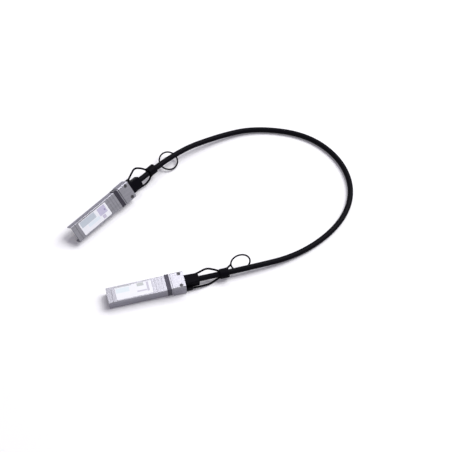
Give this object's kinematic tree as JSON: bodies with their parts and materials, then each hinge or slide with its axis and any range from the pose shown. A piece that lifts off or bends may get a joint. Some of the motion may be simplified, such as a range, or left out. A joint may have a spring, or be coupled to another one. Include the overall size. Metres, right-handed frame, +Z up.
{
  "type": "direct attach copper cable",
  "caption": "Short twinax cable with a small-form metal plug at each end; each plug's pull lanyard slides to release its latch.",
  "frame": {"origin": "centre of the two plugs' footprint on the surface they rest on, the free cable left out", "axes": "+Z up from the surface, +X towards the cable's bend, +Y from plug b towards plug a"},
  "size_m": [0.2158, 0.1646, 0.0159],
  "materials": {
    "die_cast_shell": "satin nickel over zinc die casting",
    "card": "glass-epoxy board with green solder mask",
    "gold_contact": "gold plated",
    "chip_case": "moulded epoxy",
    "capacitor_body": "ceramic with tinned ends",
    "bare_copper": "silvered copper",
    "core_insulation": "foamed polyolefin",
    "comb_resin": "moulded resin",
    "foil_shield": "laminated foil wrap",
    "ferrule_brass": "tinned brass",
    "boot_resin": "black moulded boot, fine grain",
    "gasket_rubber": "conductive elastomer",
    "screw_steel": "zinc plated",
    "label_film": "coated white film",
    "stamped_steel": "rolled spring sheet",
    "spring_steel": "hardened strip",
    "lanyard_resin": "black moulded nylon",
    "cable_jacket": "black extruded jacket, satin"
  },
  "bodies": {
    "cable_and_plugs": {"bottom_shell_a": "die_cast_shell", "top_shell_a": "die_cast_shell", "paddle_card_a": "card", "edge_contacts_a": "gold_contact", "memory_chip_a": "chip_case", "coupling_capacitors_a": "capacitor_body", "wire_ends_a": "bare_copper", "insulated_cores_a": "core_insulation", "wire_comb_a": "comb_resin", "twinax_pairs_a": "foil_shield", "crimp_ferrule_a": "ferrule_brass", "boot_a": "boot_resin", "emi_gasket_a": "gasket_rubber", "shell_screws_a": "screw_steel", "label_a": "label_film", "latch_cover_a": "stamped_steel", "return_spring_a": "spring_steel", "bottom_shell_b": "die_cast_shell", "top_shell_b": "die_cast_shell", "paddle_card_b": "card", "edge_contacts_b": "gold_contact", "memory_chip_b": "chip_case", "coupling_capacitors_b": "capacitor_body", "wire_ends_b": "bare_copper", "insulated_cores_b": "core_insulation", "wire_comb_b": "comb_resin", "twinax_pairs_b": "foil_shield", "crimp_ferrule_b": "ferrule_brass", "boot_b": "boot_resin", "emi_gasket_b": "gasket_rubber", "shell_screws_b": "screw_steel", "label_b": "label_film", "latch_cover_b": "stamped_steel", "return_spring_b": "spring_steel", "cable": "cable_jacket"},
    "puller_a": {"release_slider_a": "stamped_steel", "pull_lanyard_a": "lanyard_resin"},
    "puller_b": {"release_slider_b": "stamped_steel", "pull_lanyard_b": "lanyard_resin"}
  },
  "joints": [
    {"name": "pull_release_a", "type": "slide", "parent": "cable_and_plugs", "child": "puller_a", "axis": [0.6958, 0.718, 0.0181], "range_m": [0, 0.0025], "stiffness_N_per_m": 400, "springref_m": -0.001, "deforming": ["return_spring_a"]},
    {"name": "pull_release_b", "type": "slide", "parent": "cable_and_plugs", "child": "puller_b", "axis": [0.9702, 0.2419, 0.0131], "range_m": [0, 0.0025], "stiffness_N_per_m": 400, "springref_m": -0.001, "deforming": ["return_spring_b"]}
  ]
}
